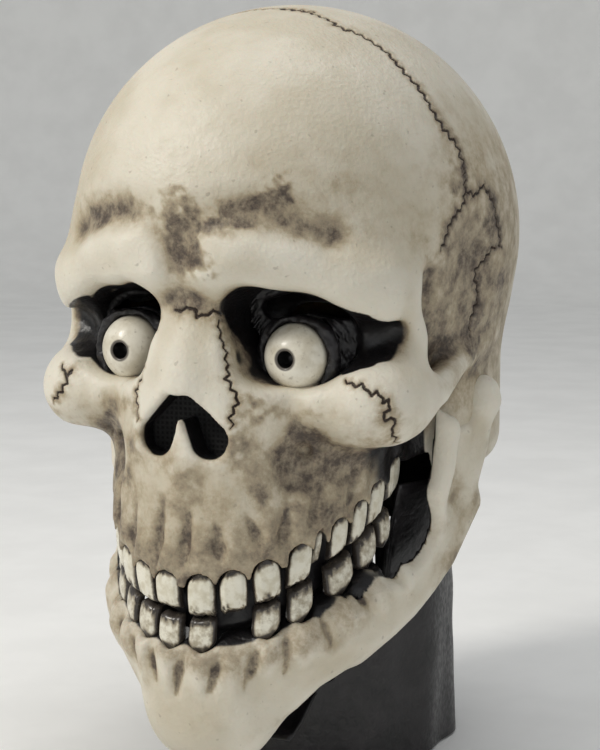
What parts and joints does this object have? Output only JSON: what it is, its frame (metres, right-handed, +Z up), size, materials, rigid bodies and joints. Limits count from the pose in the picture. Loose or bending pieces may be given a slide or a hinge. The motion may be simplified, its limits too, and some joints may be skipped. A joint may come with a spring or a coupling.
{
  "type": "latex halloween mask",
  "caption": "Over-the-head latex skull mask with a sprung lower jaw, false eyeballs under vision slots, and a slit neck.",
  "frame": {"origin": "on the axis of the wearer's head, at the height of the wearer's eyes", "axes": "+Z up, -Y towards the face, +X towards the mask's own left"},
  "size_m": [0.182, 0.219, 0.306],
  "materials": {
    "bone_latex": "satin latex, painted as old bone with a brown wash",
    "tooth_enamel_paint": "semi-gloss painted latex teeth",
    "painted_eyeball": "gloss, off-white with a drilled pupil",
    "black_latex": "matt to satin black latex",
    "black_gauze": "open weave",
    "grey_foam": "open-cell foam"
  },
  "bodies": {
    "skull": {"skull_skin": "bone_latex", "neck_skirt": "black_latex", "mouth_lining": "black_latex", "throat_web": "black_latex", "eye_cup_left": "black_latex", "eye_cup_right": "black_latex", "eyeball_left": "painted_eyeball", "eyeball_right": "painted_eyeball", "nose_gauze": "black_gauze", "upper_tooth_left_1": "tooth_enamel_paint", "upper_tooth_left_2": "tooth_enamel_paint", "upper_tooth_left_3": "tooth_enamel_paint", "upper_tooth_left_4": "tooth_enamel_paint", "upper_tooth_left_5": "tooth_enamel_paint", "upper_tooth_left_6": "tooth_enamel_paint", "upper_tooth_left_7": "tooth_enamel_paint", "upper_tooth_left_8": "tooth_enamel_paint", "upper_tooth_right_1": "tooth_enamel_paint", "upper_tooth_right_2": "tooth_enamel_paint", "upper_tooth_right_3": "tooth_enamel_paint", "upper_tooth_right_4": "tooth_enamel_paint", "upper_tooth_right_5": "tooth_enamel_paint", "upper_tooth_right_6": "tooth_enamel_paint", "upper_tooth_right_7": "tooth_enamel_paint", "upper_tooth_right_8": "tooth_enamel_paint", "upper_tooth_stub": "tooth_enamel_paint", "back_pad": "grey_foam", "crown_pad": "grey_foam", "forehead_pad": "grey_foam", "temple_pad_left": "grey_foam", "temple_pad_right": "grey_foam"},
    "jaw": {"jaw_skin": "bone_latex", "chin_pad": "grey_foam", "lower_tooth_left_1": "tooth_enamel_paint", "lower_tooth_left_3": "tooth_enamel_paint", "lower_tooth_left_4": "tooth_enamel_paint", "lower_tooth_left_5": "tooth_enamel_paint", "lower_tooth_left_6": "tooth_enamel_paint", "lower_tooth_left_7": "tooth_enamel_paint", "lower_tooth_right_1": "tooth_enamel_paint", "lower_tooth_right_2": "tooth_enamel_paint", "lower_tooth_right_3": "tooth_enamel_paint", "lower_tooth_right_4": "tooth_enamel_paint", "lower_tooth_right_5": "tooth_enamel_paint", "lower_tooth_right_6": "tooth_enamel_paint", "lower_tooth_right_7": "tooth_enamel_paint"},
    "back_flap_left": {"back_flap_left": "black_latex"},
    "back_flap_right": {"back_flap_right": "black_latex"}
  },
  "joints": [
    {"name": "jaw_open", "type": "hinge", "parent": "skull", "child": "jaw", "pos_m": [0, 0.008, -0.014], "axis": [1, 0, 0], "range_deg": [0, 10], "stiffness_Nm_per_rad": 0.5, "springref_deg": -17.19, "deforming": ["mouth_lining", "throat_web"]},
    {"name": "back_flap_left_open", "type": "hinge", "parent": "skull", "child": "back_flap_left", "pos_m": [0.046, 0.0625, -0.12], "axis": [0, 0, -1], "range_deg": [0, 35], "stiffness_Nm_per_rad": 0.03},
    {"name": "back_flap_right_open", "type": "hinge", "parent": "skull", "child": "back_flap_right", "pos_m": [-0.046, 0.0625, -0.12], "axis": [0, 0, 1], "range_deg": [0, 35], "stiffness_Nm_per_rad": 0.03}
  ]
}
